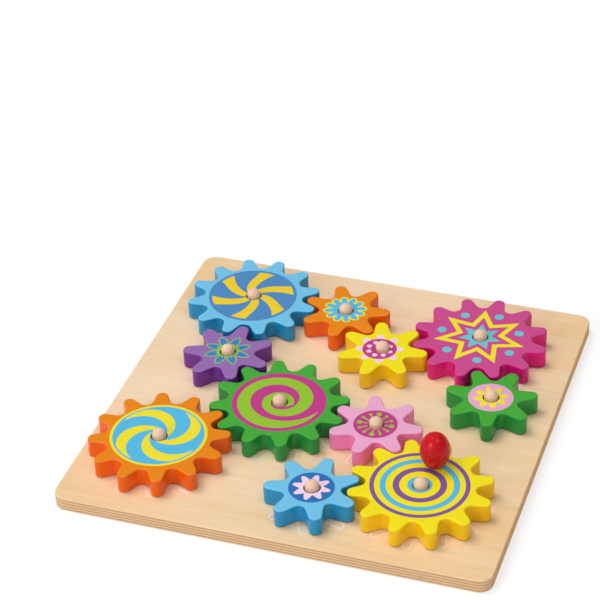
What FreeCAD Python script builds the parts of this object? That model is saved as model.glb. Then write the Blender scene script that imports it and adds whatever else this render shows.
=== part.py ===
"""Wooden crank gear toy: eleven wooden gears turn on pegs glued into a square plywood board.

The gears mesh in one train, so turning the knob on the crank gear turns all of them. There are
two sizes of gear, with twelve and with seven teeth. Each tooth has straight flanks, a round tip
and a round gap beside it, all worked out from the flank's angle and the mesh radius.

Units are millimetres and degrees. The origin is the centre of the board's underside, +Z is up,
+X runs to the right along the front edge and +Y to the back.
"""

import FreeCAD, Part
import math
import os

from FreeCAD import Vector

# Board
BOARD_SIDE = 300.0
BOARD_THICKNESS = 10.0
BOARD_CORNER_RADIUS = 9.5
BOARD_EDGE_EASING = 0.7

# Large gears
LARGE_TEETH = 12
LARGE_MESH_RADIUS = 44.0
LARGE_TOOTH_REACH = 4.6
LARGE_FLANK_ANGLE = 14.5

# Small gears
SMALL_TEETH = 7
SMALL_MESH_RADIUS = 27.0
SMALL_TOOTH_REACH = 5.4
SMALL_FLANK_ANGLE = 11.3

# What all gears share. A tooth is thinner than half its pitch by the slack, and a gap is deeper
# than the longest tooth by the tip clearance.
GEAR_THICKNESS = 13.7
GEAR_EDGE_EASING = 0.8
TOOTH_SLACK = 2.3
TIP_CLEARANCE = 2.2
GEAR_LIFT = 0.3

# Pegs
PEG_DIAMETER = 9.7
PEG_STAND = 5.6
PEG_DOME_HEIGHT = 3.8
PEG_HOLE_DEPTH = 7.0
PEG_FOOT_CHAMFER = 0.8
PEG_GLUE_GAP = 0.05
PEG_RUNNING_GAP = 0.85
BORE_EDGE_CHAMFER = 0.4

# Crank knob: an egg, whose full length includes the end that its flat foot cuts off
KNOB_DIAMETER = 20.4
KNOB_EGG_LENGTH = 27.2
KNOB_END_RADIUS = 8.4
KNOB_FOOT_DIAMETER = 8.0
KNOB_CRANK_RADIUS = 22.3
KNOB_DIRECTION = 81.2
KNOB_LIFT = 0.3

# Countersunk wood screw that holds the knob from under the crank gear
SCREW_DIAMETER = 4.0
SCREW_HEAD_DIAMETER = 8.0
SCREW_HEAD_HEIGHT = 2.4
SCREW_HEAD_SINK = 0.5
SCREW_GRIP_LENGTH = 14.0
SCREW_POINT_LENGTH = 2.5
SCREW_RUNNING_GAP = 0.3
SCREW_THREAD_GAP = 0.05
SCREW_SLOT_LENGTH = 4.8
SCREW_SLOT_WIDTH = 1.0
SCREW_SLOT_DEPTH = 1.0

# Place of the crank gear, to the right of the board's centre and in front of it, and the angle of
# one of its teeth
CRANK_GEAR_RIGHT = 86.9
CRANK_GEAR_FRONT = 86.2
CRANK_GEAR_ANGLE = 24.0

# The train: driver, driven gear, direction from the driver's centre to the driven gear's, and the
# side of its slack to which the driven gear leans, by this share of a tooth's pitch.
LEAN_SHARE = 0.03
TRAIN = [
    ("crank_gear", "small_pink_gear", 131.1, 1),
    ("small_pink_gear", "large_green_gear", 175.7, 1),
    ("crank_gear", "small_blue_gear", -161.9, -1),
    ("large_green_gear", "large_orange_gear", -138.7, -1),
    ("large_green_gear", "small_purple_gear", 140.0, 1),
    ("small_purple_gear", "large_blue_gear", 94.4, -1),
    ("large_blue_gear", "small_orange_gear", 0.2, -1),
    ("small_orange_gear", "small_yellow_gear", -43.9, -1),
    ("small_yellow_gear", "large_magenta_gear", 27.4, -1),
    ("large_magenta_gear", "small_green_gear", -69.5, 1),
]

# Levels
GEAR_BOTTOM = BOARD_THICKNESS + GEAR_LIFT
GEAR_TOP = GEAR_BOTTOM + GEAR_THICKNESS
PEG_BOTTOM = BOARD_THICKNESS - PEG_HOLE_DEPTH
PEG_TOP = GEAR_TOP + PEG_STAND
KNOB_BOTTOM = GEAR_TOP + KNOB_LIFT
SCREW_HEAD_LEVEL = GEAR_BOTTOM + SCREW_HEAD_SINK

ROOT_DEPTH = max(LARGE_TOOTH_REACH, SMALL_TOOTH_REACH) + TIP_CLEARANCE
BORE_RADIUS = PEG_DIAMETER / 2 + PEG_RUNNING_GAP
UP = Vector(0, 0, 1)
ORIGIN = Vector(0, 0, 0)


class GearSize:
    """The numbers of one size of gear, and the two round stretches of its teeth.

    In the frame of one tooth, whose middle lies on +X, the flank is a straight line that leans
    inwards by the flank angle. It passes the mesh radius at half the tooth's thickness. The tip
    is the circle that touches both flanks and the tip radius. The gap's bottom is the circle on
    the gap's middle line that touches the flank and the root radius.
    """

    def __init__(self, teeth, mesh_radius, reach, flank_angle):
        self.teeth = teeth
        self.mesh_radius = mesh_radius
        tip_radius = mesh_radius + reach
        root_radius = mesh_radius - ROOT_DEPTH
        half_pitch_angle = math.pi / teeth
        half_thickness = (half_pitch_angle * mesh_radius - TOOTH_SLACK) / 2
        on_flank = polar(mesh_radius, half_thickness / mesh_radius)
        lean = math.radians(flank_angle)
        across = Vector(math.sin(lean), math.cos(lean), 0)
        flank_distance = across.dot(on_flank)

        tip_centre = (tip_radius - flank_distance) / (1 - math.sin(lean))
        tip_rounding = tip_radius - tip_centre
        self.tip_middle = Vector(tip_radius, 0, 0)
        self.tip_end = Vector(tip_centre, 0, 0) + across * tip_rounding

        gap_axis = polar(1, half_pitch_angle)
        gap_centre = (root_radius - flank_distance) / (1 - across.dot(gap_axis))
        gap_rounding = gap_centre - root_radius
        self.root_middle = gap_axis * root_radius
        self.root_start = gap_axis * gap_centre - across * gap_rounding


def polar(radius, angle):
    """Point in the XY plane at a radius and an angle in radians."""
    return Vector(radius * math.cos(angle), radius * math.sin(angle), 0)


def turned(point, angle):
    """Point turned about Z by an angle in radians."""
    cosine = math.cos(angle)
    sine = math.sin(angle)
    return Vector(point.x * cosine - point.y * sine, point.x * sine + point.y * cosine, 0)


def mirrored(point, angle):
    """Point mirrored in the line through the origin at an angle in radians."""
    return turned(Vector(point.x, -point.y, 0), 2 * angle)


def arc(start, middle, end):
    return Part.Arc(start, middle, end).toShape()


def line(start, end):
    return Part.LineSegment(start, end).toShape()


def cylinder(radius, bottom, top, centre=ORIGIN):
    return Part.makeCylinder(radius, top - bottom, Vector(centre.x, centre.y, bottom), UP)


def cone(bottom_radius, top_radius, bottom, top, centre=ORIGIN):
    place = Vector(centre.x, centre.y, bottom)
    return Part.makeCone(bottom_radius, top_radius, top - bottom, place, UP)


def upright_arc(radius, centre, start, end):
    """Arc in the XZ plane between two angles in radians, measured up from +X."""

    def point(angle):
        return centre + Vector(math.cos(angle), 0, math.sin(angle)) * radius

    return arc(point(start), point((start + end) / 2), point(end))


def turn_on_lathe(edges, centre):
    """Solid of revolution about the vertical through `centre`, from edges in the XZ plane."""
    solid = Part.Face(Part.Wire(edges)).revolve(ORIGIN, UP, 360)
    solid.translate(Vector(centre.x, centre.y, 0))
    return solid


def edges_at(shape, level):
    """Edges that lie flat at a level."""
    found = []
    for edge in shape.Edges:
        box = edge.BoundBox
        if abs(box.ZMin - level) < 1e-6 and abs(box.ZMax - level) < 1e-6:
            found.append(edge)
    return found


def gear_outline(size):
    """Closed wire of one gear's teeth: tip arc, falling flank, gap arc and rising flank."""
    half_pitch = math.pi / size.teeth
    next_tip_start = mirrored(size.tip_end, half_pitch)
    root_end = mirrored(size.root_start, half_pitch)
    edges = []
    for tooth in range(size.teeth):
        angle = 2 * half_pitch * tooth
        tip_start = turned(mirrored(size.tip_end, 0), angle)
        tip_end = turned(size.tip_end, angle)
        root_start = turned(size.root_start, angle)
        edges.append(arc(tip_start, turned(size.tip_middle, angle), tip_end))
        edges.append(line(tip_end, root_start))
        edges.append(arc(root_start, turned(size.root_middle, angle), turned(root_end, angle)))
        edges.append(line(turned(root_end, angle), turned(next_tip_start, angle)))
    return Part.Wire(edges)


def make_gear(size, centre, turn):
    """One gear: the toothed plate and its bore, with every edge eased."""
    plate = Part.Face(gear_outline(size)).extrude(UP * GEAR_THICKNESS)
    rims = edges_at(plate, 0) + edges_at(plate, GEAR_THICKNESS)
    plate = plate.makeChamfer(GEAR_EDGE_EASING, rims)
    eased_radius = BORE_RADIUS + BORE_EDGE_CHAMFER
    bore = cylinder(BORE_RADIUS, 0, GEAR_THICKNESS)
    lower_ease = cone(eased_radius, BORE_RADIUS, 0, BORE_EDGE_CHAMFER)
    upper_ease = cone(BORE_RADIUS, eased_radius, GEAR_THICKNESS - BORE_EDGE_CHAMFER, GEAR_THICKNESS)
    gear = plate.cut(bore.fuse([lower_ease, upper_ease]))
    gear.rotate(ORIGIN, UP, turn)
    gear.translate(Vector(centre.x, centre.y, GEAR_BOTTOM))
    return gear


def make_board(peg_places):
    """Square plywood panel with round corners, eased edges and a blind hole for each peg."""
    half = BOARD_SIDE / 2
    board = Part.makeBox(BOARD_SIDE, BOARD_SIDE, BOARD_THICKNESS, Vector(-half, -half, 0))
    corners = [e for e in board.Edges if e.BoundBox.ZLength > BOARD_THICKNESS / 2]
    board = board.makeFillet(BOARD_CORNER_RADIUS, corners)
    rims = edges_at(board, 0) + edges_at(board, BOARD_THICKNESS)
    board = board.makeChamfer(BOARD_EDGE_EASING, rims)
    hole_radius = PEG_DIAMETER / 2 + PEG_GLUE_GAP
    holes = [cylinder(hole_radius, PEG_BOTTOM, BOARD_THICKNESS, p) for p in peg_places]
    return board.cut(Part.makeCompound(holes))


def make_peg(centre):
    """Round peg that stands on the floor of its blind hole and ends in a ball-nosed dome."""
    radius = PEG_DIAMETER / 2
    dome_start = PEG_TOP - PEG_DOME_HEIGHT
    dome_radius = (radius**2 + PEG_DOME_HEIGHT**2) / (2 * PEG_DOME_HEIGHT)
    dome_centre = Vector(0, 0, PEG_TOP - dome_radius)
    foot = Vector(radius - PEG_FOOT_CHAMFER, 0, PEG_BOTTOM)
    shoulder = Vector(radius, 0, PEG_BOTTOM + PEG_FOOT_CHAMFER)
    edges = [
        line(Vector(0, 0, PEG_BOTTOM), foot),
        line(foot, shoulder),
        line(shoulder, Vector(radius, 0, dome_start)),
        upright_arc(dome_radius, dome_centre, math.acos(radius / dome_radius), math.pi / 2),
        line(Vector(0, 0, PEG_TOP), Vector(0, 0, PEG_BOTTOM)),
    ]
    return turn_on_lathe(edges, centre)


def make_knob(centre):
    """Egg with a flat foot and a blind hole for its screw.

    The egg's outline is a wide arc round its side and a tighter one round each end. The side
    arc's radius is the one at which it runs smoothly into the end arcs.
    """
    radius = KNOB_DIAMETER / 2
    end_offset = KNOB_EGG_LENGTH / 2 - KNOB_END_RADIUS
    side_radius = (radius**2 + end_offset**2 - KNOB_END_RADIUS**2) / (2 * (radius - KNOB_END_RADIUS))
    join = math.atan2(end_offset, side_radius - radius)
    foot_angle = -math.acos(KNOB_FOOT_DIAMETER / 2 / KNOB_END_RADIUS)
    middle = KNOB_BOTTOM + end_offset - KNOB_END_RADIUS * math.sin(foot_angle)
    side_centre = Vector(radius - side_radius, 0, middle)
    lower_centre = Vector(0, 0, middle - end_offset)
    upper_centre = Vector(0, 0, middle + end_offset)
    bottom = Vector(0, 0, KNOB_BOTTOM)
    top = upper_centre + UP * KNOB_END_RADIUS
    edges = [
        line(bottom, bottom + Vector(KNOB_FOOT_DIAMETER / 2, 0, 0)),
        upright_arc(KNOB_END_RADIUS, lower_centre, foot_angle, -join),
        upright_arc(side_radius, side_centre, -join, join),
        upright_arc(KNOB_END_RADIUS, upper_centre, join, math.pi / 2),
        line(top, bottom),
    ]
    knob = turn_on_lathe(edges, centre)
    hole_radius = SCREW_DIAMETER / 2 + SCREW_THREAD_GAP
    hole_top = KNOB_BOTTOM + SCREW_GRIP_LENGTH
    hole = cylinder(hole_radius, KNOB_BOTTOM, hole_top - SCREW_POINT_LENGTH, centre)
    hole_end = cone(hole_radius, 0, hole_top - SCREW_POINT_LENGTH, hole_top, centre)
    return knob.cut(hole.fuse(hole_end))


def screw_way(centre):
    """Countersunk way for the knob's screw through the crank gear, open at both faces."""
    head_radius = SCREW_HEAD_DIAMETER / 2 + SCREW_RUNNING_GAP
    shank_radius = SCREW_DIAMETER / 2 + SCREW_RUNNING_GAP
    sink_top = SCREW_HEAD_LEVEL + SCREW_RUNNING_GAP
    mouth = cylinder(head_radius, GEAR_BOTTOM, sink_top, centre)
    sink = cone(head_radius, shank_radius, sink_top, sink_top + SCREW_HEAD_HEIGHT, centre)
    shank = cylinder(shank_radius, sink_top, GEAR_TOP, centre)
    return mouth.fuse([sink, shank])


def make_screw(centre):
    """Countersunk wood screw, head down, with a crossed driver slot and a pointed end."""
    shank_radius = SCREW_DIAMETER / 2
    tip_level = KNOB_BOTTOM + SCREW_GRIP_LENGTH - SCREW_THREAD_GAP
    point_level = tip_level - SCREW_POINT_LENGTH
    head_top = SCREW_HEAD_LEVEL + SCREW_HEAD_HEIGHT
    head = cone(SCREW_HEAD_DIAMETER / 2, shank_radius, SCREW_HEAD_LEVEL, head_top, centre)
    shank = cylinder(shank_radius, SCREW_HEAD_LEVEL, point_level, centre)
    point = cone(shank_radius, 0, point_level, tip_level, centre)
    screw = head.fuse([shank, point]).removeSplitter()
    slots = []
    for angle in (0, 90):
        corner = Vector(-SCREW_SLOT_LENGTH / 2, -SCREW_SLOT_WIDTH / 2, 0)
        slot = Part.makeBox(SCREW_SLOT_LENGTH, SCREW_SLOT_WIDTH, SCREW_SLOT_DEPTH, corner)
        slot.rotate(ORIGIN, UP, angle)
        slot.translate(Vector(centre.x, centre.y, SCREW_HEAD_LEVEL))
        slots.append(slot)
    return screw.cut(slots[0].fuse(slots[1]))


def lay_out_train(sizes):
    """Centre and turn of every gear, worked along the train from the crank gear.

    Two gears touch at their mesh radii. They mesh when the driver's tooth phase and the driven
    gear's tooth phase at the contact add up to half a pitch, plus the driven gear's lean.
    """
    places = {"crank_gear": Vector(CRANK_GEAR_RIGHT, -CRANK_GEAR_FRONT, 0)}
    turns = {"crank_gear": CRANK_GEAR_ANGLE}
    for driver, driven, direction, lean in TRAIN:
        reach = sizes[driver].mesh_radius + sizes[driven].mesh_radius
        places[driven] = places[driver] + polar(reach, math.radians(direction))
        driver_phase = sizes[driver].teeth * (direction - turns[driver])
        driven_phase = 180 + 360 * LEAN_SHARE * lean - driver_phase
        turns[driven] = direction + 180 - driven_phase / sizes[driven].teeth
    return places, turns


def main():
    large = GearSize(LARGE_TEETH, LARGE_MESH_RADIUS, LARGE_TOOTH_REACH, LARGE_FLANK_ANGLE)
    small = GearSize(SMALL_TEETH, SMALL_MESH_RADIUS, SMALL_TOOTH_REACH, SMALL_FLANK_ANGLE)
    names = ["crank_gear"] + [driven for _, driven, _, _ in TRAIN]
    sizes = {name: small if name.startswith("small") else large for name in names}
    places, turns = lay_out_train(sizes)
    knob_place = places["crank_gear"] + polar(KNOB_CRANK_RADIUS, math.radians(KNOB_DIRECTION))

    shapes = {"board": make_board(places.values())}
    for name in names:
        shapes[name] = make_gear(sizes[name], places[name], turns[name])
        shapes[name.replace("gear", "peg")] = make_peg(places[name])
    shapes["crank_gear"] = shapes["crank_gear"].cut(screw_way(knob_place))
    shapes["crank_knob"] = make_knob(knob_place)
    shapes["knob_screw"] = make_screw(knob_place)

    os.makedirs("parts", exist_ok=True)
    for name, shape in shapes.items():
        shape.exportStep(f"parts/{name}.step")
        print(f"{name}: {len(shape.Solids)} solid, {shape.Volume / 1000:.2f} cm3")
    for name in names:
        place = places[name]
        print(f"{name}: centre {place.x:.2f}, {place.y:.2f}, turn {turns[name] % 360:.2f}")


main()
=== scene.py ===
"""Looks of the wooden crank gear toy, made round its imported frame.

The file is laid out as an add-on and run as a script. Each piece is a surface worked out with
numpy in metres, in the frame's own axes: +X to the right along the board's front edge, +Y to the
back, +Z up. The gears' prints are formulas of the distance and direction from the gear's centre.
"""

import math

import bpy
import numpy as np
from bpy.props import FloatProperty, FloatVectorProperty, IntProperty, PointerProperty
from mathutils import Matrix, Vector


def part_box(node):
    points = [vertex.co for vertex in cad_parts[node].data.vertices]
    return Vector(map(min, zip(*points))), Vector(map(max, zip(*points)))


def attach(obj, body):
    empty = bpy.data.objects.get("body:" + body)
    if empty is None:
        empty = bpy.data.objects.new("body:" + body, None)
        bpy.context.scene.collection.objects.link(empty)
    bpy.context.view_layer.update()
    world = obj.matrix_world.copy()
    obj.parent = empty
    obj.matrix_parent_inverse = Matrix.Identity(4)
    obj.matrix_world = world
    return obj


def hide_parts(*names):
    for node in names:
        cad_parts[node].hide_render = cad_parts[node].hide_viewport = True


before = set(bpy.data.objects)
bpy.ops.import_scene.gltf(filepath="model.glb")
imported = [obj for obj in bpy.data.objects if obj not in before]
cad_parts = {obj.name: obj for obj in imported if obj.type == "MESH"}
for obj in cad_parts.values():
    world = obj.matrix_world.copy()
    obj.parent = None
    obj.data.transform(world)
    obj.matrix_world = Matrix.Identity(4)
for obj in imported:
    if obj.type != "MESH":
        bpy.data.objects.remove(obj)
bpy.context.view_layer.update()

bl_info = {
    "name": "Wooden Crank Gear Toy",
    "version": (1, 0, 0),
    "blender": (4, 5, 0),
    "location": "View3D > Sidebar > Gear Toy",
    "description": "Builds the board, pegs, printed gears and crank knob of a wooden gear toy",
    "category": "Object",
}

MM = 0.001
TAU = 2 * math.pi
SHARP_EDGE = math.radians(40)

# The floor lies a little below the board. What is seen of it is partly a plain white.
FLOOR_DROP = 0.1 * MM
FLOOR_GLOW_SHARE = 0.62
FLOOR_GLOW_STRENGTH = 1.06

# The studio's lamps: direction from the toy, distance and side in metres, power in watts, and
# whether glossy paint shows the lamp.
LAMPS = {
    "key": ((-0.44, -0.80, 0.42), 5.0, 2.0, 57.0, True),
    "top": ((0.42, -0.21, 0.88), 5.0, 1.7, 28.0, True),
    "ceiling": ((-0.38, 0.05, 0.92), 5.0, 2.4, 113.0, False),
    "back": ((0.07, 0.69, 0.72), 5.0, 0.7, 7.0, True),
}

# The world is brightest towards the upper front left, and fades to its least on the far side.
WORLD_DIRECTION = (-0.4, -0.7, 0.6)
WORLD_MIDDLE = 0.29
WORLD_LEAST = 0.085


# Settings


def length(name, description, millimetres):
    """Property for a length, whose default is given in millimetres."""
    return FloatProperty(
        name=name, description=description, default=millimetres * MM, unit="LENGTH", precision=5
    )


def angle(name, description, degrees):
    """Property for an angle, whose default is given in degrees."""
    return FloatProperty(
        name=name, description=description, default=math.radians(degrees), subtype="ANGLE"
    )


def linear(red, green, blue):
    """Scene-linear colour of a display colour given as 0 to 255."""
    shown = np.array((red, green, blue)) / 255
    return tuple(np.where(shown <= 0.04045, shown / 12.92, ((shown + 0.055) / 1.055) ** 2.4).tolist())


def colour(name, description, red, green, blue):
    """Property for a colour, whose default is given as display values from 0 to 255."""
    return FloatVectorProperty(
        name=name, description=description, default=linear(red, green, blue), subtype="COLOR", min=0, max=1
    )


class ToyGearSettings(bpy.types.PropertyGroup):
    """Teeth and edges of the two sizes of gear."""

    large_teeth: IntProperty(name="Large teeth", description="Teeth of a large gear", default=12, min=5)
    large_mesh_radius: length("Large mesh radius", "Where large gears touch their neighbours", 44)
    large_tooth_reach: length("Large tooth reach", "Tip of a large tooth beyond the mesh radius", 4.6)
    large_flank_angle: angle("Large flank angle", "Lean of a large tooth's sides", 14.5)
    small_teeth: IntProperty(name="Small teeth", description="Teeth of a small gear", default=7, min=5)
    small_mesh_radius: length("Small mesh radius", "Where small gears touch their neighbours", 27)
    small_tooth_reach: length("Small tooth reach", "Tip of a small tooth beyond the mesh radius", 5.4)
    small_flank_angle: angle("Small flank angle", "Lean of a small tooth's sides", 11.3)
    tooth_slack: length("Tooth slack", "How much thinner a tooth is than half its pitch", 2.3)
    tip_clearance: length("Tip clearance", "Depth of a gap beyond the longest tooth", 2.2)
    edge_radius: length("Edge radius", "Sanded rounding of the toothed edges", 1.1)
    running_gap: length("Running gap", "Space all round between peg and bore", 0.85)
    bore_edge_radius: length("Bore edge radius", "Sanded rounding of the bore", 0.5)


class ToyPegSettings(bpy.types.PropertyGroup):
    """Pegs that the gears turn on."""

    dome_height: length("Dome height", "Height of the round top", 3.8)
    foot_chamfer: length("Foot chamfer", "Bevel at the glued end", 0.8)
    glue_gap: length("Glue gap", "Space all round between a peg and its hole", 0.05)


class ToyBoardSettings(bpy.types.PropertyGroup):
    """Plywood board and the gear outlines printed on it."""

    corner_radius: length("Corner radius", "Rounding of the board's corners", 9.5)
    edge_radius: length("Edge radius", "Sanded rounding of the board's edges", 0.7)
    plies: IntProperty(name="Plies", description="Layers of veneer in the board", default=9, min=3)
    line_width: length("Line width", "Width of the printed outlines", 0.75)
    line_height: length("Line height", "Thickness of the ink", 0.03)
    line_slack: length("Line slack", "How much slimmer a printed tooth is than half its pitch", 6)
    line_shortfall: length("Line shortfall", "How much shorter a printed tooth is than the real one", 1.2)


class ToyKnobSettings(bpy.types.PropertyGroup):
    """Egg-shaped knob and the screw that holds it."""

    egg_length: length("Egg length", "Full length of the egg, with the end that the flat foot cuts off", 27.2)
    end_radius: length("End radius", "Radius of the egg's ends", 8.4)
    foot_diameter: length("Foot diameter", "Flat underneath the knob", 8)
    screw_hole: length("Screw hole", "Radius of the blind hole for the screw", 2.05)
    screw_depth: length("Screw depth", "Depth of the blind hole for the screw", 14)
    screw_point: length("Screw point", "Length of the hole's pointed end", 2.5)
    screw_gap: length("Screw gap", "Space round the screw in the crank gear", 0.3)
    screw_sink: length("Screw sink", "Depth of the screw's countersunk head", 2.4)


class ToyPaintSettings(bpy.types.PropertyGroup):
    """Paints of the gears and knob, and inks of the prints."""

    yellow: colour("Yellow", "Yellow gears, flat faces", 244, 225, 14)
    yellow_wall: colour("Yellow wall", "Yellow gears, toothed edge", 246, 200, 8)
    green: colour("Green", "Green gears, flat faces", 66, 168, 52)
    green_wall: colour("Green wall", "Green gears, toothed edge", 32, 147, 62)
    orange: colour("Orange", "Orange gears, flat faces", 233, 133, 6)
    orange_wall: colour("Orange wall", "Orange gears, toothed edge", 240, 100, 6)
    blue: colour("Blue", "Blue gears, flat faces", 114, 194, 231)
    blue_wall: colour("Blue wall", "Blue gears, toothed edge", 28, 147, 202)
    magenta: colour("Magenta", "Magenta gear, flat faces", 202, 72, 140)
    magenta_wall: colour("Magenta wall", "Magenta gear, toothed edge", 222, 16, 128)
    pink: colour("Pink", "Pink gear, flat faces", 234, 168, 203)
    pink_wall: colour("Pink wall", "Pink gear, toothed edge", 251, 138, 200)
    purple: colour("Purple", "Purple gear, flat faces", 148, 106, 172)
    purple_wall: colour("Purple wall", "Purple gear, toothed edge", 118, 48, 158)
    red: colour("Red", "Knob", 208, 10, 22)
    yellow_ink: colour("Yellow ink", "Prints", 240, 224, 44)
    gold_ink: colour("Gold ink", "Pinwheel", 238, 204, 40)
    cyan_ink: colour("Cyan ink", "Prints", 84, 186, 226)
    teal_ink: colour("Teal ink", "Star and dots", 104, 194, 206)
    blue_ink: colour("Blue ink", "Petals", 58, 128, 196)
    navy_ink: colour("Dark blue ink", "Small blue gear's disc", 36, 112, 182)
    slate_ink: colour("Slate ink", "Pinwheel's disc", 76, 136, 192)
    violet_ink: colour("Violet ink", "Rings", 126, 84, 156)
    magenta_ink: colour("Magenta ink", "Discs", 192, 56, 134)
    lime_ink: colour("Lime ink", "Spiral and petal outlines", 146, 194, 48)
    rose_ink: colour("Rose ink", "Small green gear's disc", 232, 166, 202)
    blush_ink: colour("Blush ink", "Pale petals", 243, 212, 232)
    white_ink: colour("White ink", "Outlines on the board", 243, 238, 232)


class ToyWoodSettings(bpy.types.PropertyGroup):
    """Bare wood of the board and pegs."""

    veneer: colour("Veneer", "Birch face of the board", 247, 222, 186)
    # Colour of the darker streaks; it also carries the painted shade towards the board's corners.
    veneer_streak_and_corner_shade: colour("Dark veneer", "Darker streaks of the birch face", 235, 198, 148)
    veneer_cool: colour("Cool veneer", "Paler side of the birch face", 245, 224, 202)
    seam: colour("Seam", "Joint between two sheets of the birch face", 232, 188, 120)
    ply_pale: colour("Pale ply", "Plies that run along the edge", 224, 199, 164)
    ply_dark: colour("Dark ply", "Plies that show end grain", 203, 143, 76)
    side_pale: colour("Pale side ply", "Pale plies in the left and right edges", 236, 188, 122)
    side_dark: colour("Dark side ply", "Dark plies in the left and right edges", 206, 142, 68)
    seam_back: length("Seam place", "Seam of the birch face, behind the board's centre", -74.8)
    seam_start: length("Seam start", "Left end of the seam, to the right of the board's centre", 60)
    beech: colour("Beech", "Pegs", 242, 210, 182)
    beech_dark: colour("Dark beech", "Rays and pores of the pegs", 222, 176, 136)


class ToyStageSettings(bpy.types.PropertyGroup):
    """Camera and floor."""

    azimuth: angle("Azimuth", "Camera's direction round the toy, from the front to the right", 19.64)
    elevation: angle("Elevation", "Camera's angle above the floor", 34.80)
    roll: angle("Roll", "Camera's tilt", -2.13)
    distance: length("Distance", "From the camera to the point it looks at", 1637.2)
    target_right: length("Target right", "Point the camera looks at, to the right of the centre", -67.42)
    target_back: length("Target back", "Point the camera looks at, behind the centre", 125.36)
    lens: FloatProperty(name="Lens", description="Focal length on a 36 mm sensor", default=130.46, min=10)
    floor_side: length("Floor side", "Side of the square floor", 12000)
    floor: colour("Floor", "Pale floor", 250, 250, 250)


# Shapes


def new_mesh(name, points, faces):
    """Mesh from arrays of points and of faces."""
    mesh = bpy.data.meshes.new(name)
    mesh.from_pydata(np.asarray(points).tolist(), [], [list(face) for face in faces])
    return mesh


def add_object(name, data):
    """Object for a mesh, a lamp or a camera, put in the scene."""
    made = bpy.data.objects.new(name, data)
    bpy.context.scene.collection.objects.link(made)
    return made


def as_piece(name, body, material, points, faces, replaced):
    """Mesh object that rides on a body in place of CAD nodes."""
    mesh = new_mesh(name, points, faces)
    mesh.validate()
    mesh.shade_smooth()
    mesh.set_sharp_from_angle(angle=SHARP_EDGE)
    mesh.materials.append(material)
    piece = add_object(name, mesh)
    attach(piece, body)
    if replaced:
        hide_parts(*replaced)
    return piece


def grid_faces(rows, columns, closed):
    """Quads of a grid whose columns join up, and whose rows join up too where `closed`."""
    upper = np.arange(rows if closed else rows - 1)[:, None]
    left = np.arange(columns)[None, :]
    over = (upper + 1) % rows
    right = (left + 1) % columns
    upper, over = upper * columns, over * columns
    corners = (upper + left, upper + right, over + right, over + left)
    return np.stack([np.broadcast_to(corner, (upper.size, columns)) for corner in corners], -1).reshape(-1, 4)


def lathe(profile, centre, sides):
    """Points and faces of a turned piece.

    Each profile point (r, z) becomes the ring (r cos t, r sin t, z) round the centre. The first
    and last points lie on the axis, and each is one point with a fan of triangles.
    """
    profile = np.asarray(profile)
    turn = np.linspace(0, TAU, sides, endpoint=False)
    radius = profile[1:-1, :1]
    level = np.broadcast_to(profile[1:-1, 1:], (len(profile) - 2, sides))
    rings = np.stack([centre[0] + radius * np.cos(turn), centre[1] + radius * np.sin(turn), level], -1)
    ends = [(centre[0], centre[1], profile[0, 1]), (centre[0], centre[1], profile[-1, 1])]
    points = np.vstack([rings.reshape(-1, 3), ends])
    first, last = len(points) - 2, len(points) - 1
    around = np.arange(sides)
    after = (around + 1) % sides
    top_row = (len(profile) - 3) * sides
    faces = grid_faces(len(profile) - 2, sides, False).tolist()
    faces += np.stack([np.full(sides, first), after, around], -1).tolist()
    faces += np.stack([np.full(sides, last), top_row + around, top_row + after], -1).tolist()
    return points, faces


def bend(centre, radius, start, end, steps):
    """Points (r, z) along a circle from one angle to another, measured up from outwards."""
    swing = np.linspace(start, end, steps)
    return np.stack([centre[0] + radius * np.cos(swing), centre[1] + radius * np.sin(swing)], -1)


class ToothForm:
    """Half a tooth of one size of gear, as points and outward normals.

    In the frame of a tooth whose middle lies on +X, the tip is a circle of radius p round
    (c, 0), the side is a straight line that leans by the flank angle, and the gap is a circle of
    radius q round a point on the gap's middle line. The normal's angle runs from 0 at the tip to
    90 degrees less the flank angle on the side, and back to half a pitch at the gap's bottom.
    """

    def __init__(self, teeth, mesh_radius, reach, flank_angle, slack, root_depth):
        self.teeth = teeth
        self.mesh_radius = mesh_radius
        self.half_pitch = math.pi / teeth
        half_thickness = (self.half_pitch * mesh_radius - slack) / 2
        on_side = mesh_radius * unit(half_thickness / mesh_radius)
        side_angle = math.pi / 2 - flank_angle
        side = unit(side_angle)
        reach_of_side = side @ on_side
        tip_centre = (mesh_radius + reach - reach_of_side) / (1 - side[0])
        tip_radius = mesh_radius + reach - tip_centre
        gap_axis = unit(self.half_pitch)
        gap_centre = (mesh_radius - root_depth - reach_of_side) / (1 - side @ gap_axis)
        gap_radius = gap_centre - (mesh_radius - root_depth)
        tip_turn = np.linspace(0, side_angle, 10)
        gap_turn = np.linspace(side_angle, self.half_pitch, 8)
        tip = (tip_centre, 0) + tip_radius * unit(tip_turn)
        gap = gap_axis * gap_centre - gap_radius * unit(gap_turn)
        along = np.linspace(0, 1, 5)[1:-1, None]
        flank = tip[-1] + (gap[0] - tip[-1]) * along
        self.points = np.vstack([tip, flank, gap])
        self.normals = np.vstack([unit(tip_turn), np.repeat(side[None], len(along), 0), unit(gap_turn)])

    def outline(self, centre, turn):
        """Whole outline round a centre: each half tooth with its mirror image, once per tooth."""
        points = np.vstack([self.points[:0:-1] * (1, -1), self.points[:-1]])
        normals = np.vstack([self.normals[:0:-1] * (1, -1), self.normals[:-1]])
        turns = turn + 2 * self.half_pitch * np.arange(self.teeth)
        spin = np.array([[np.cos(turns), -np.sin(turns)], [np.sin(turns), np.cos(turns)]])
        points = np.einsum("abt,pb->tpa", spin, points).reshape(-1, 2) + centre
        normals = np.einsum("abt,pb->tpa", spin, normals).reshape(-1, 2)
        return points, normals


def unit(turn):
    """Unit vector or vectors at an angle or angles."""
    return np.stack([np.cos(turn), np.sin(turn)], -1)


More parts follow.
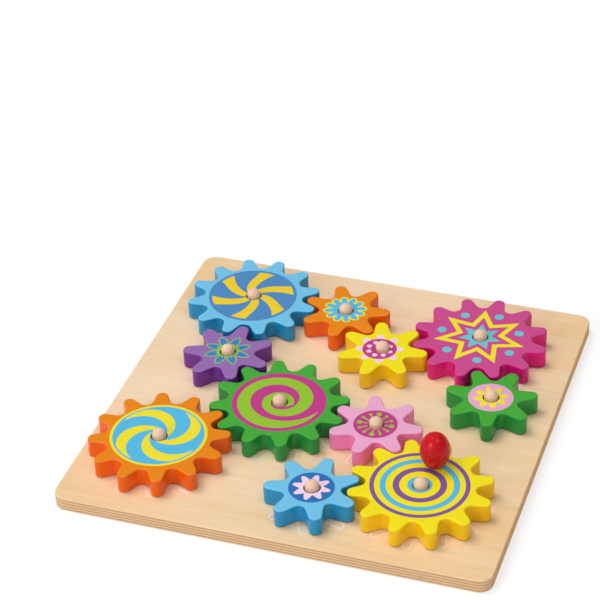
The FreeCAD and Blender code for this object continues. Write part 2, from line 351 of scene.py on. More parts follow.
def forms(settings, slack, shortfall=0.0):
    """Tooth forms of the large and the small gears."""
    reaches = (settings.large_tooth_reach, settings.small_tooth_reach)
    root_depth = max(reaches) + settings.tip_clearance
    sizes = (
        (settings.large_teeth, settings.large_mesh_radius, reaches[0], settings.large_flank_angle),
        (settings.small_teeth, settings.small_mesh_radius, reaches[1], settings.small_flank_angle),
    )
    return [
        ToothForm(teeth, mesh, reach - shortfall, lean, slack, root_depth)
        for teeth, mesh, reach, lean in sizes
    ]


def upright(node):
    """Centre and radius of a round node that stands upright, and its lowest and highest level."""
    low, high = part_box(node)
    centre = np.array([(low.x + high.x) / 2, (low.y + high.y) / 2])
    return centre, (high.x - low.x) / 2, low.z, high.z


def peg_of(gear):
    """Centre, radius and levels of the peg under a gear."""
    return upright(gear.replace("gear", "peg"))


def gear_turn(gear, centre, form):
    """Angle of one tooth of a CAD gear: the mean direction of its tips, counted round one pitch."""
    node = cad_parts[gear]
    places = np.empty(len(node.data.vertices) * 3)
    node.data.vertices.foreach_get("co", places)
    world = np.array(node.matrix_world)
    away = (places.reshape(-1, 3) @ world[:3, :3].T + world[:3, 3])[:, :2] - centre
    tips = away[np.hypot(away[:, 0], away[:, 1]) > form.mesh_radius]
    phase = form.teeth * np.arctan2(tips[:, 1], tips[:, 0])
    return math.atan2(np.sin(phase).mean(), np.cos(phase).mean()) / form.teeth


def rounding(radius):
    """Steps of a quarter circle, each a pair r (1 - sin q) and r (1 - cos q)."""
    quarter = np.linspace(0, math.pi / 2, 6)
    return np.stack([radius * (1 - np.sin(quarter)), radius * (1 - np.cos(quarter))], -1).tolist()


def rounded_wall(bottom, top, edge, support):
    """Steps (d, z) up a wall that is rounded at its foot and its head."""
    rows = [(away, bottom + near) for away, near in rounding(edge)]
    rows += [(0, bottom + edge + support), (0, top - edge - support)]
    return rows + [(away, top - near) for near, away in rounding(edge)]


def gear_surface(form, centre, turn, bottom, top, edge, bore, bore_edge):
    """Points and faces of a gear, as a grid that closes both ways.

    Each column stands on one point P of the outline, with normal n. Each row is a step (d, z, b)
    of the section: its point is P - d n where b is 0, and the ring of radius d in P's direction
    where b is 1. A b between them is a mix of both, across the flat faces.
    """
    outline, normals = form.outline(centre, turn)
    outwards = outline - centre
    outwards /= np.hypot(outwards[:, 0], outwards[:, 1])[:, None]
    support = 0.15 * edge
    rows = [(*step, 0) for step in rounded_wall(bottom, top, edge, support)]
    rows += [(edge + support, top, 0), (0, top, 0.5), (bore + bore_edge + support, top, 1)]
    rows += [(bore + away, top - near, 1) for away, near in rounding(bore_edge)]
    rows += [(bore, (bottom + top) / 2, 1)]
    rows += [(bore + away, bottom + near, 1) for near, away in rounding(bore_edge)]
    rows += [(bore + bore_edge + support, bottom, 1), (0, bottom, 0.5), (edge + support, bottom, 0)]
    points = []
    for depth, level, share_of_bore in rows:
        if share_of_bore == 1:
            flat = centre + outwards * depth
        elif share_of_bore == 0:
            flat = outline - normals * depth
        else:
            flat = (outline - normals * edge + centre + outwards * bore) / 2
        points.append(np.column_stack([flat, np.full(len(flat), level)]))
    return np.vstack(points), grid_faces(len(rows), len(outline), True)


def board_surface(half, corner, edge, bottom, top):
    """Points and faces of the board: rounded square outlines, joined by a rounded section.

    A corner's point is (h - c + (c - d) cos t, h - c + (c - d) sin t), mirrored into the four
    corners, where h is half the side, c the corner radius and d the section's depth.
    """
    swing = np.linspace(0, math.pi / 2, 17)
    support = 0.2 * edge
    rows = rounded_wall(bottom, top, edge, support)
    rows = [(edge + support, bottom)] + rows + [(edge + support, top)]
    points = []
    for depth, level in rows:
        corner_points = (half - corner) + (corner - depth) * unit(swing)
        outline = np.vstack([turned(corner_points, quarter_turn) for quarter_turn in range(4)])
        points.append(np.column_stack([outline, np.full(len(outline), level)]))
    columns = 4 * len(swing)
    faces = grid_faces(len(rows), columns, False).tolist()
    faces.append(list(range(columns))[::-1])
    faces.append(list(range((len(rows) - 1) * columns, len(rows) * columns)))
    return np.vstack(points), faces


def turned(points, quarter_turns):
    """Points turned about the origin by a number of quarter turns."""
    angle_turned = quarter_turns * math.pi / 2
    cosine, sine = round(math.cos(angle_turned)), round(math.sin(angle_turned))
    return points @ np.array([[cosine, sine], [-sine, cosine]])


def cut(piece, points, faces):
    """Cuts a closed surface out of a piece."""
    mesh = new_mesh("cutter", points, faces)
    cutter = add_object("cutter", mesh)
    boolean = piece.modifiers.new("cut", "BOOLEAN")
    boolean.operation = "DIFFERENCE"
    boolean.solver = "EXACT"
    boolean.object = cutter
    shown = piece.evaluated_get(bpy.context.evaluated_depsgraph_get())
    whole = bpy.data.meshes.new_from_object(shown)
    piece.modifiers.clear()
    old = piece.data
    whole.set_sharp_from_angle(angle=SHARP_EDGE)
    piece.data = whole
    whole.name = piece.name
    bpy.data.meshes.remove(old)
    bpy.data.objects.remove(cutter)
    bpy.data.meshes.remove(mesh)


# Materials


class Number:
    """A number that a material works out at each point, written as ordinary arithmetic."""

    def __init__(self, tree, socket):
        self.tree = tree
        self.socket = socket

    def work(self, operation, *others, clamp=False):
        node = self.tree.nodes.new("ShaderNodeMath")
        node.operation = operation
        node.use_clamp = clamp
        for place, value in enumerate((self,) + others):
            if isinstance(value, Number):
                self.tree.links.new(value.socket, node.inputs[place])
            else:
                node.inputs[place].default_value = value
        return Number(self.tree, node.outputs[0])

    def __add__(self, other):
        return self.work("ADD", other)

    def __sub__(self, other):
        return self.work("SUBTRACT", other)

    def __mul__(self, other):
        return self.work("MULTIPLY", other)

    def __truediv__(self, other):
        return self.work("DIVIDE", other)

    def power(self, exponent):
        return self.work("POWER", exponent)

    def size(self):
        return self.work("ABSOLUTE")

    def cosine(self):
        return self.work("COSINE")

    def sine(self):
        return self.work("SINE")

    def smaller(self, other):
        return self.work("MINIMUM", other)

    def larger(self, other):
        return self.work("MAXIMUM", other)

    def distance(self, other):
        return (self * self + other * other).work("SQRT")

    def wrapped(self, half_range):
        return self.work("WRAP", half_range, -half_range)

    def below(self, limit, softness=0.12 * MM):
        """1 where the number is under the limit, with a soft edge."""
        return ((self - limit) * (-1 / softness)).work("ADD", 0.5, clamp=True)

    def above(self, limit, softness=0.12 * MM):
        """1 where the number is over the limit, with a soft edge."""
        return (self * -1).below(-limit, softness)

    def between(self, low, high):
        return self.below(high) - self.below(low)


class Print:
    """A gear's flat face, as the place to put inks on.

    `radius` and `turn` are the distance and direction from the print's centre, in the toy's own
    frame at rest. Each ink goes over the ones before it, where its mask is 1.
    """

    def __init__(self, tree, centre, ground):
        self.tree = tree
        where = tree.nodes.new("ShaderNodeTexCoord")
        mapping = tree.nodes.new("ShaderNodeMapping")
        mapping.inputs["Location"].default_value = (-centre[0], -centre[1], 0)
        tree.links.new(where.outputs["Object"], mapping.inputs["Vector"])
        split = tree.nodes.new("ShaderNodeSeparateXYZ")
        tree.links.new(mapping.outputs["Vector"], split.inputs[0])
        self.place = mapping.outputs["Vector"]
        self.right = Number(tree, split.outputs[0])
        self.back = Number(tree, split.outputs[1])
        self.level = Number(tree, split.outputs[2])
        self.radius = self.right.distance(self.back)
        self.turn = self.back.work("ARCTAN2", self.right)
        self.shade = ground

    def ink(self, paint, mask):
        mix = self.tree.nodes.new("ShaderNodeMix")
        mix.data_type = "RGBA"
        self.tree.links.new(mask.socket, mix.inputs["Factor"])
        for name, value in (("A", self.shade), ("B", paint)):
            socket = next(i for i in mix.inputs if i.name == name and i.type == "RGBA")
            if isinstance(value, bpy.types.NodeSocket):
                self.tree.links.new(value, socket)
            else:
                socket.default_value = (*value, 1)
        self.shade = next(o for o in mix.outputs if o.type == "RGBA")

    def colour(self, shader):
        self.tree.links.new(self.shade, shader.inputs["Base Color"])

    def disc(self, paint, radius):
        self.ink(paint, self.radius.below(radius * MM))

    def ring(self, paint, inner, outer):
        self.ink(paint, self.radius.between(inner * MM, outer * MM))

    def petal(self, count, first):
        """Distances along and across the nearest of `count` petals, the first at an angle."""
        off = (self.turn - math.radians(first)).wrapped(math.pi / count)
        return self.radius * off.cosine(), (self.radius * off.sine()).size()


def print_rings(face, paints):
    """Three rings round a filled middle."""
    face.disc(paints.cyan_ink, 8.3)
    face.ring(paints.violet_ink, 13.5, 17.8)
    face.ring(paints.cyan_ink, 22.3, 26.3)
    face.ring(paints.violet_ink, 30.0, 33.0)


def print_pinwheel(face, paints):
    """Six bent blades on a disc.

    Measured back from a blade's outer end at radius e, its left side turns in proportion to
    e - r, and its right side in proportion to (e - r) to the power 1.6.
    """
    end, left_foot, right_foot, soft_degrees = 29.9, -11.4, 11.5, 0.3
    face.disc(paints.slate_ink, 32.4)
    inwards = (face.radius * (-1 / MM) + end).larger(0.0)
    off = (face.turn - math.radians(28)).wrapped(math.radians(30)) * (180 / math.pi)
    left = inwards * 1.05 + left_foot
    right = inwards.power(1.6) * 0.3 + right_foot
    for whole_blade in (0, 60):
        near = off + whole_blade
        mask = near.below(right, soft_degrees) * left.below(near, soft_degrees) * face.radius.below(end * MM)
        face.ink(paints.gold_ink, mask)


def print_star(face, paints):
    """Seven-pointed star in outline round a filled one, with a dot between its points.

    Along the side of a star, the distance a cos w + b sin w stays the same, where a and b lie
    along and across the nearest point.
    """
    points, first_point, lean = 7, 45.5, math.radians(66.7)
    along, across = face.petal(points, first_point)
    side = along * math.cos(lean) + across * math.sin(lean)
    face.ink(paints.yellow_ink, side.between(9.5 * MM, 13.1 * MM))
    face.ink(paints.teal_ink, side.below(6.2 * MM))
    along, across = face.petal(points, first_point + 180 / points + 3.6)
    face.ink(paints.teal_ink, (along - 28.2 * MM).distance(across).below(3.3 * MM))


def print_spiral(face, paints):
    """Spiral arm that grows for two turns, between an inner and an outer curve.

    With t the angle counted on over the turns, the inner curve is a straight growth with a sway
    that grows too, and the outer one rises like a hyperbolic tangent. The arm's inner end tapers
    out of the middle over the eighth of a turn before.
    """
    face.disc(paints.magenta_ink, 32.7)
    growth, start, sway_growth, sway_start, sway_phase = 17.1, -5.05, 5.27, -4.26, math.radians(352.5)
    outer_middle, outer_swing, steepness, delay = 19.8, 9.47, 3.294, -3.086
    end_radius, end_slope = 10.4, 40
    around = (face.turn / TAU).work("FRACT")
    arm = None
    for whole_turn in (0, 1):
        turns = around + whole_turn
        sway = (turns * TAU - sway_phase).sine() * (turns * sway_growth + sway_start)
        inner = (turns * growth + start + sway) * MM
        outer = ((turns * steepness + delay).work("TANH") * outer_swing + outer_middle) * MM
        band = inner.below(face.radius) * face.radius.below(outer)
        arm = band if arm is None else arm.larger(band)
    arm = arm.larger(face.radius.below((around * end_slope + (end_radius - end_slope)) * MM))
    face.ink(paints.lime_ink, arm)


def print_swirl(face, paints):
    """Four crescents in a rimmed disc: each is inside one circle and outside its next turn."""
    face.disc(paints.yellow_ink, 33.2)
    face.disc(paints.cyan_ink, 31.2)
    circle_radius, circle_offset = 18.1 * MM, 12.5 * MM
    for blade in range(4):
        circles = []
        for direction in (143.7, 183.6):
            middle = circle_offset * unit(math.radians(direction + 90 * blade))
            away = (face.right - middle[0]).distance(face.back - middle[1])
            circles.append(away.below(circle_radius))
        crescent = circles[0] - circles[0] * circles[1]
        face.ink(paints.yellow_ink, crescent * face.radius.below(29.9 * MM))


def print_stamens(face, paints):
    """Twelve stalks that end in dots, every third one larger."""
    face.disc(paints.magenta_ink, 15.1)
    along, across = face.petal(12, 3.5)
    stalk = across.below(0.45 * MM) * along.between(4 * MM, 10.5 * MM)
    face.ink(paints.lime_ink, stalk)
    face.ink(paints.lime_ink, (along - 11.3 * MM).distance(across).below(1.2 * MM))
    along, across = face.petal(4, 3.5)
    face.ink(paints.lime_ink, (along - 11.2 * MM).distance(across).below(1.85 * MM))


def print_daisy(face, paints):
    """Eight round petals, whose rim is a circle that swells and shrinks with the angle."""
    face.disc(paints.navy_ink, 15.3)
    rim = (face.turn * 8).cosine() * (2.5 * MM) + 10.5 * MM
    face.ink(paints.blush_ink, face.radius.below(rim))


def print_leaf_flower(face, paints):
    """Eight pointed petals with an outline, each with a small dart at its foot.

    A petal's side is a circle of radius s round a point beside its middle.
    """
    along, across = face.petal(8, 35)
    leaf = (along - 10.6 * MM).distance(across + 5.6 * MM)
    face.ink(paints.lime_ink, leaf.below(9.0 * MM) * along.below(17.4 * MM))
    face.disc(paints.lime_ink, 8.8)
    face.ink(paints.blue_ink, leaf.below(8.1 * MM) * along.above(7.3 * MM))
    dart = (along - 7.2 * MM).distance(across * 1.3)
    face.ink(paints.lime_ink, dart.below(1.5 * MM))


def print_round_flower(face, paints):
    """Twelve round-ended petals with an outline."""
    along, across = face.petal(12, 20)
    beyond = (along - 13.0 * MM).larger(0.0)
    away = beyond.distance(across)
    face.ink(paints.yellow_ink, away.below(3.1 * MM))
    face.ink(paints.cyan_ink, away.below(1.95 * MM))
    face.disc(paints.cyan_ink, 9.2)


def print_petal_ring(face, paints):
    """Eight petals round a ring that holds eight small hearts."""
    along, across = face.petal(8, 14)
    face.ink(paints.blush_ink, ((along - 12.9 * MM) * 0.75).distance(across).below(3.0 * MM))
    face.disc(paints.magenta_ink, 12.2)
    along, across = face.petal(8, 36)
    heart = ((along - 7.6 * MM) * 0.72).larger(0.0).distance(across)
    face.ink(paints.blush_ink, heart.below(1.75 * MM) * along.above(6.4 * MM))


def print_almond_flower(face, paints):
    """Eight almond petals on a disc: each is where two circles overlap."""
    face.disc(paints.rose_ink, 15.6)
    along, across = face.petal(8, 23)
    almond = (along - 7.9 * MM).distance(across + 3.2 * MM)
    face.ink(paints.yellow_ink, almond.below(5.7 * MM))


# Each gear's body and node share a name. The entries are its paint, its print, how far the print
# lies off the gear's centre, to the right and to the back, in millimetres, and the angle of one
# tooth of the outline under it, in degrees.
GEARS = {
    "crank_gear": ("yellow", print_rings, (-0.75, 0.3), 4.0),
    "small_pink_gear": ("pink", print_stamens, (-0.35, 0.0), 43.3),
    "large_green_gear": ("green", print_spiral, (-0.35, 0.0), 29.0),
    "small_blue_gear": ("blue", print_daisy, (-0.35, 0.0), 18.0),
    "large_orange_gear": ("orange", print_swirl, (-0.75, 0.5), 13.5),
    "small_purple_gear": ("purple", print_leaf_flower, (-0.45, 0.7), 36.5),
    "large_blue_gear": ("blue", print_pinwheel, (-0.75, 0.0), 25.0),
    "small_orange_gear": ("orange", print_round_flower, (-0.85, 1.1), 6.0),
    "small_yellow_gear": ("yellow", print_petal_ring, (-1.75, -1.1), 4.5),
    "large_magenta_gear": ("magenta", print_star, (-0.35, 0.0), 21.0),
    "small_green_gear": ("green", print_almond_flower, (-0.15, -0.3), 22.5),
}


def new_material(name, roughness, shine=0.5):
    """Material, its node tree and its shader."""
    material = bpy.data.materials.new(name)
    material.use_nodes = True
    shader = material.node_tree.nodes["Principled BSDF"]
    shader.inputs["Roughness"].default_value = roughness
    shader.inputs["Specular IOR Level"].default_value = shine
    return material, material.node_tree, shader


def noise(tree, place, scale, detail, roughness=0.5):
    """Noise over places that are stretched by a scale along each axis."""
    mapping = tree.nodes.new("ShaderNodeMapping")
    mapping.inputs["Scale"].default_value = scale
    tree.links.new(place, mapping.inputs["Vector"])
    texture = tree.nodes.new("ShaderNodeTexNoise")
    texture.inputs["Scale"].default_value = 1
    texture.inputs["Detail"].default_value = detail
    texture.inputs["Roughness"].default_value = roughness
    tree.links.new(mapping.outputs["Vector"], texture.inputs["Vector"])
    return Number(tree, texture.outputs["Fac"])


def add_bump(tree, shader, height, distance, strength):
    """Bump on a shader from a number."""
    bump = tree.nodes.new("ShaderNodeBump")
    bump.inputs["Distance"].default_value = distance
    bump.inputs["Strength"].default_value = strength
    tree.links.new(height.socket, bump.inputs["Height"])
    tree.links.new(bump.outputs["Normal"], shader.inputs["Normal"])


def gear_material(gear, centre, top, edge, paints):
    """Painted wood: a printed flat face, and a deeper, glossier wall of teeth."""
    paint, draw, offset, _ = GEARS[gear]
    material, tree, shader = new_material(gear + "_paint", 0.34, 0.34)
    face = Print(tree, centre + np.array(offset) * MM, getattr(paints, paint)[:])
    draw(face, paints)
    wood = noise(tree, face.place, (60, 900, 900), 3)
    blotch = noise(tree, face.place, (45, 45, 45), 2)
    wall = face.level.below(top - 0.45 * edge, 0.5 * edge)
    face.ink(getattr(paints, paint + "_wall")[:], wall)
    face.colour(shader)
    gloss = wall * -0.14 + blotch * 0.08 + 0.32
    tree.links.new(gloss.socket, shader.inputs["Roughness"])
    add_bump(tree, shader, wood * 0.5 + blotch, 0.00008, 0.35)
    return material


def beech_material(centre, woods):
    """Beech with its fibres upright, so that the dome shows end grain."""
    material, tree, shader = new_material("beech", 0.42, 0.35)
    face = Print(tree, centre, woods.beech[:])
    fibres = noise(tree, face.place, (900, 900, 60), 4)
    rays = noise(tree, face.place, (350, 1500, 120), 2)
    dark = (fibres * 0.7 + rays * 0.5 - 0.4).work("MULTIPLY", 1.3, clamp=True)
    face.ink(woods.beech_dark[:], dark)
    face.colour(shader)
    add_bump(tree, shader, fibres, 0.00006, 0.3)
    return material


def plywood_material(half, bottom, top, edge, plies, woods):
    """Birch plywood: a streaked face with painted shade that darkens it towards its corners, and plies in the
    edge.
    """
    material, tree, shader = new_material("birch_plywood", 0.55, 0.2)
    face = Print(tree, (0, 0), woods.veneer[:])
    figure = noise(tree, face.place, (7, 26, 26), 3, 0.6)
    bands = noise(tree, face.place, (14, 260, 260), 3, 0.7)
    fibres = noise(tree, face.place, (25, 750, 750), 3, 0.6)
    flecks = noise(tree, face.place, (130, 1500, 300), 2)
    cool = (face.back - face.right) * 1.6 + figure * 0.8 + 0.12
    face.ink(woods.veneer_cool[:], cool.larger(0.0).smaller(1.0))
    # Painted shade: more than 135 mm from the centre, the face darkens more and more towards its corners.
    corner_shade_start, corner_shade_growth = 135 * MM, 4
    painted_corner_shade = (face.radius - corner_shade_start).larger(0.0) * corner_shade_growth
    # The dark mask mixes the grain's streaks with the painted corner shade.
    dark = figure * 0.8 + bands * 0.4 + fibres * 0.4 + painted_corner_shade - 0.56
    face.ink(woods.veneer_streak_and_corner_shade[:], dark.work("MULTIPLY", 1.8, clamp=True))
    off_seam = (face.back + bands * (0.8 * MM) - woods.seam_back).size()
    seam = off_seam.below(0.3 * MM, 0.3 * MM) * face.right.above(woods.seam_start)
    face.ink(woods.seam[:], seam * 0.8)
    ply_height = (top - bottom) / plies
    band = ((face.level - bottom) / (2 * ply_height)).work("FRACT")
    dark_ply = band.below(0.98, 0.06) - band.below(0.5, 0.06)
    inside = face.level.below(top - 0.6 * ply_height, 0.1 * MM) * face.level.above(bottom + 0.5 * ply_height)
    grain = noise(tree, face.place, (300, 300, 900), 3, 0.6)
    tone = grain * 0.5 + 0.6
    at_side = face.right.size().below(half - 0.5 * edge, edge) * -1 + 1
    face.ink(woods.ply_pale[:], inside)
    face.ink(woods.ply_dark[:], (inside * dark_ply * tone).smaller(1.0))
    face.ink(woods.side_dark[:], inside * at_side)
    face.ink(woods.side_pale[:], inside * at_side * dark_ply * tone)
    face.colour(shader)
    add_bump(tree, shader, fibres + flecks * 0.5, 0.00006, 0.3)
    return material


def knob_material(centre, paints):
    """Red gloss paint, a little uneven."""
    material, tree, shader = new_material("red_gloss_paint", 0.25, 0.26)
    face = Print(tree, centre, paints.red[:])
    cloud = noise(tree, face.place, (90, 90, 90), 2)
    deep = tuple(0.8 * part for part in paints.red)
    face.ink(deep, cloud)
    face.colour(shader)
    add_bump(tree, shader, cloud, 0.0001, 0.12)
    return material


def steel_material():
    """Zinc-plated steel of the hidden screw."""
    material, tree, shader = new_material("screw_steel", 0.32)
    shader.inputs["Metallic"].default_value = 1
    face = Print(tree, (0, 0), linear(176, 178, 182))
    brushed = noise(tree, face.place, (700, 700, 5000), 2)
    face.ink(linear(140, 142, 148), brushed)
    face.colour(shader)
    return material


def ink_material(paints):
    """White ink of the outlines, a little worn."""
    material, tree, shader = new_material("white_ink", 0.6, 0.2)
    face = Print(tree, (0, 0), paints.white_ink[:])
    worn = noise(tree, face.place, (500, 500, 500), 2)
    face.ink(linear(232, 218, 200), (worn - 0.45).work("MULTIPLY", 2, clamp=True))
    face.colour(shader)
    return material


# Operators


class TOY_OT_board(bpy.types.Operator):
    """Makes the plywood board, with a hole for each peg"""

    bl_idname = "toy.make_board"
    bl_label = "Make Board"

    def execute(self, context):
        scene = context.scene
        board = scene.toy_board
        low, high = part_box("board")
        material = plywood_material(high.x, low.z, high.z, board.edge_radius, board.plies, scene.toy_woods)
        points, faces = board_surface(high.x, board.corner_radius, board.edge_radius, low.z, high.z)
        piece = as_piece("plywood_board", "base", material, points, faces, ["board"])
        for gear in GEARS:
            centre, radius, foot, _ = peg_of(gear)
            radius += scene.toy_pegs.glue_gap
            above = high.z + board.edge_radius
            profile = [(0, foot), (radius, foot), (radius, above), (0, above)]
            cut(piece, *lathe(profile, centre, 64))
        return {"FINISHED"}


class TOY_OT_outlines(bpy.types.Operator):
    """Prints the white gear outlines on the board"""

    bl_idname = "toy.print_outlines"
    bl_label = "Print Outlines"

    def execute(self, context):
        scene = context.scene
        board = scene.toy_board
        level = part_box("board")[1].z
        sizes = forms(scene.toy_gears, board.line_slack, board.line_shortfall)
        half = board.line_width / 2
        section = [(half, 0), (half, board.line_height), (-half, board.line_height), (-half, 0)]
        material = ink_material(scene.toy_paints)
        for gear in GEARS:
            form = sizes[gear.startswith("small")]
            turn = math.radians(GEARS[gear][3])
            outline, normals = form.outline(peg_of(gear)[0], turn)
            rows = [
                np.column_stack([outline + normals * side, np.full(len(outline), level + up)])
                for side, up in section
            ]
            faces = grid_faces(len(section), len(outline), True)
            piece = as_piece(gear.replace("gear", "outline"), "base", material, np.vstack(rows), faces, [])
        return {"FINISHED"}


class TOY_OT_gears(bpy.types.Operator):
    """Makes the printed gears"""

    bl_idname = "toy.make_gears"
    bl_label = "Make Gears"

    def execute(self, context):
        scene = context.scene
        gears = scene.toy_gears
        sizes = forms(gears, gears.tooth_slack)
        for gear in GEARS:
            form = sizes[gear.startswith("small")]
            centre, radius, _, _ = peg_of(gear)
            bore = radius + gears.running_gap
            low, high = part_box(gear)
            turn = gear_turn(gear, centre, form)
            material = gear_material(gear, centre, high.z, gears.edge_radius, scene.toy_paints)
            surface = gear_surface(
                form, centre, turn, low.z, high.z, gears.edge_radius, bore, gears.bore_edge_radius
            )
            piece = as_piece("printed_" + gear, gear, material, *surface, [gear])
            if gear == "crank_gear":
                cut(piece, *self.screw_way(scene.toy_knob, low.z, high.z))
        return {"FINISHED"}

    def screw_way(self, knob, bottom, top):
        """Countersunk way for the knob's screw, a little longer than the gear is thick."""
        spare = knob.screw_gap
        centre, radius, low, _ = upright("knob_screw")
        head, shank, sink = radius + spare, knob.screw_hole + spare, low + spare
        profile = [(0, bottom - spare), (head, bottom - spare), (head, sink)]
        profile += [(shank, sink + knob.screw_sink), (shank, top + spare), (0, top + spare)]
        return lathe(profile, centre, 48)


class TOY_OT_pegs(bpy.types.Operator):
    """Makes the beech pegs with their round tops"""

    bl_idname = "toy.make_pegs"
    bl_label = "Make Pegs"

    def execute(self, context):
        scene = context.scene
        settings = scene.toy_pegs
        for gear in GEARS:
            peg = gear.replace("gear", "peg")
            centre, radius, low, high = upright(peg)
            dome = settings.dome_height
            ball = (radius**2 + dome**2) / (2 * dome)
            shoulder = math.acos(radius / ball)
            chamfer = settings.foot_chamfer
            below_dome = high - dome - 0.3 * MM
            profile = [(0, low), (radius - chamfer, low), (radius, low + chamfer), (radius, below_dome)]
            profile += bend((0, high - ball), ball, shoulder, math.pi / 2, 14).tolist()
            points, faces = lathe(profile, centre, 56)
            material = beech_material(centre, scene.toy_woods)
            piece = as_piece("beech_" + peg, "base", material, points, faces, [peg])
        return {"FINISHED"}


class TOY_OT_knob(bpy.types.Operator):
    """Makes the egg-shaped crank knob and finishes its screw"""

    bl_idname = "toy.make_knob"
    bl_label = "Make Knob"

    def execute(self, context):
        scene = context.scene
        centre, *size = upright("crank_knob")
        profile = self.egg(scene.toy_knob, *size)
        points, faces = lathe(profile, centre, 96)
        material = knob_material(centre, scene.toy_paints)
        piece = as_piece("red_crank_knob", "knob", material, points, faces, ["crank_knob"])
        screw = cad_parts["knob_screw"]
        screw.data.materials.clear()
        screw.data.materials.append(steel_material())
        return {"FINISHED"}

    def egg(self, knob, radius, bottom, top):
        """Section of the knob: up its screw hole, out along the foot and round three arcs."""
        end = knob.end_radius
        offset = knob.egg_length / 2 - end
        side = (radius**2 + offset**2 - end**2) / (2 * (radius - end))
        join = math.atan2(offset, side - radius)
        foot = -math.acos(knob.foot_diameter / 2 / end)
        middle = top - end - offset
        hole = knob.screw_hole
        profile = [(0, bottom + knob.screw_depth), (hole, bottom + knob.screw_depth - knob.screw_point)]
        profile += [(hole, bottom), (0.98 * knob.foot_diameter / 2, bottom)]
        profile += bend((0, middle - offset), end, foot, -join, 12).tolist()
        profile += bend((radius - side, middle), side, -join, join, 26)[1:].tolist()
        profile += bend((0, middle + offset), end, join, math.pi / 2, 16)[1:].tolist()
        return profile


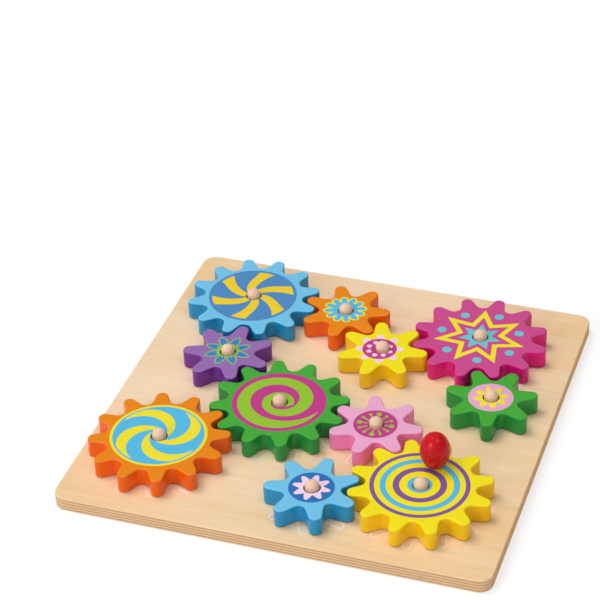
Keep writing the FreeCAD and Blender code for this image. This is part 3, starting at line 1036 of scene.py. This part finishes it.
class TOY_OT_stage(bpy.types.Operator):
    """Makes the floor, the light and the camera"""

    bl_idname = "toy.make_stage"
    bl_label = "Make Stage"

    def execute(self, context):
        scene = context.scene
        stage = scene.toy_stage
        self.floor(stage)
        self.light(scene)
        self.camera(scene, stage)
        scene.view_settings.view_transform = "Standard"
        return {"FINISHED"}

    def floor(self, stage):
        half = stage.floor_side / 2
        corners = [(-half, -half), (half, -half), (half, half), (-half, half)]
        mesh = new_mesh("floor", [(*corner, -FLOOR_DROP) for corner in corners], [(0, 1, 2, 3)])
        material, tree, shader = new_material("floor", 0.9)
        shader.inputs["Base Color"].default_value = (*stage.floor, 1)
        shader.inputs["Specular IOR Level"].default_value = 0
        path = tree.nodes.new("ShaderNodeLightPath")
        seen = Number(tree, path.outputs["Is Camera Ray"]).larger(Number(tree, path.outputs["Is Glossy Ray"]))
        seen = seen.larger(Number(tree, path.outputs["Is Transmission Ray"])) * FLOOR_GLOW_SHARE
        glow = tree.nodes.new("ShaderNodeEmission")
        glow.inputs["Strength"].default_value = FLOOR_GLOW_STRENGTH
        mix = tree.nodes.new("ShaderNodeMixShader")
        tree.links.new(seen.socket, mix.inputs[0])
        tree.links.new(shader.outputs[0], mix.inputs[1])
        tree.links.new(glow.outputs[0], mix.inputs[2])
        tree.links.new(mix.outputs[0], tree.nodes["Material Output"].inputs["Surface"])
        mesh.materials.append(material)
        add_object("floor", mesh)

    def light(self, scene):
        world = bpy.data.worlds.new("studio")
        world.use_nodes = True
        tree = world.node_tree
        background = tree.nodes["Background"]
        background.inputs["Color"].default_value = (1, 1, 1, 1)
        around = tree.nodes.new("ShaderNodeTexCoord")
        towards = tree.nodes.new("ShaderNodeVectorMath")
        towards.operation = "DOT_PRODUCT"
        towards.inputs[1].default_value = Vector(WORLD_DIRECTION).normalized()
        tree.links.new(around.outputs["Generated"], towards.inputs[0])
        strength = Number(tree, towards.outputs["Value"]).work("MULTIPLY_ADD", WORLD_MIDDLE, WORLD_MIDDLE)
        tree.links.new(strength.larger(WORLD_LEAST).socket, background.inputs["Strength"])
        scene.world = world
        for name, (direction, distance, size, power, in_gloss) in LAMPS.items():
            data = bpy.data.lights.new(name, "AREA")
            data.shape = "SQUARE"
            data.size = size
            data.energy = power
            lamp = add_object(name, data)
            lamp.visible_glossy = in_gloss
            towards = Vector(direction).normalized()
            facing = towards.to_track_quat("Z", "Y").to_matrix().to_4x4()
            lamp.matrix_world = Matrix.Translation(towards * distance) @ facing

    def camera(self, scene, stage):
        """Camera at an azimuth, elevation and roll, looking at a point on the floor."""
        flat, rise = stage.azimuth, stage.elevation
        back = Vector((math.sin(flat) * math.cos(rise), -math.cos(flat) * math.cos(rise), math.sin(rise)))
        level = Vector((math.cos(flat), math.sin(flat), 0))
        upright = back.cross(level)
        right = level * math.cos(stage.roll) + upright * math.sin(stage.roll)
        up = upright * math.cos(stage.roll) - level * math.sin(stage.roll)
        place = Vector((stage.target_right, stage.target_back, 0)) + back * stage.distance
        data = bpy.data.cameras.new("camera")
        data.sensor_width = 36
        data.lens = stage.lens
        camera = add_object("camera", data)
        turn = Matrix((right, up, back)).transposed().to_4x4()
        camera.matrix_world = Matrix.Translation(place) @ turn
        scene.camera = camera


class TOY_PT_panel(bpy.types.Panel):
    """Buttons for each group of pieces, and their settings"""

    bl_label = "Gear Toy"
    bl_idname = "TOY_PT_panel"
    bl_space_type = "VIEW_3D"
    bl_region_type = "UI"
    bl_category = "Gear Toy"

    def draw(self, context):
        for operator in OPERATORS:
            self.layout.operator(operator.bl_idname)
        for name in SETTINGS:
            box = self.layout.box()
            group = getattr(context.scene, name)
            for prop in group.__annotations__:
                box.prop(group, prop)


SETTINGS = {
    "toy_gears": ToyGearSettings,
    "toy_pegs": ToyPegSettings,
    "toy_board": ToyBoardSettings,
    "toy_knob": ToyKnobSettings,
    "toy_paints": ToyPaintSettings,
    "toy_woods": ToyWoodSettings,
    "toy_stage": ToyStageSettings,
}
OPERATORS = (TOY_OT_board, TOY_OT_outlines, TOY_OT_gears, TOY_OT_pegs, TOY_OT_knob, TOY_OT_stage)


def register():
    for name, settings in SETTINGS.items():
        bpy.utils.register_class(settings)
        setattr(bpy.types.Scene, name, PointerProperty(type=settings))
    for operator in OPERATORS:
        bpy.utils.register_class(operator)
    bpy.utils.register_class(TOY_PT_panel)


def unregister():
    bpy.utils.unregister_class(TOY_PT_panel)
    for operator in reversed(OPERATORS):
        bpy.utils.unregister_class(operator)
    for name, settings in reversed(SETTINGS.items()):
        delattr(bpy.types.Scene, name)
        bpy.utils.unregister_class(settings)


def main():
    register()
    bpy.ops.toy.make_board()
    bpy.ops.toy.print_outlines()
    bpy.ops.toy.make_gears()
    bpy.ops.toy.make_pegs()
    bpy.ops.toy.make_knob()
    bpy.ops.toy.make_stage()


if __name__ == "__main__":
    main()
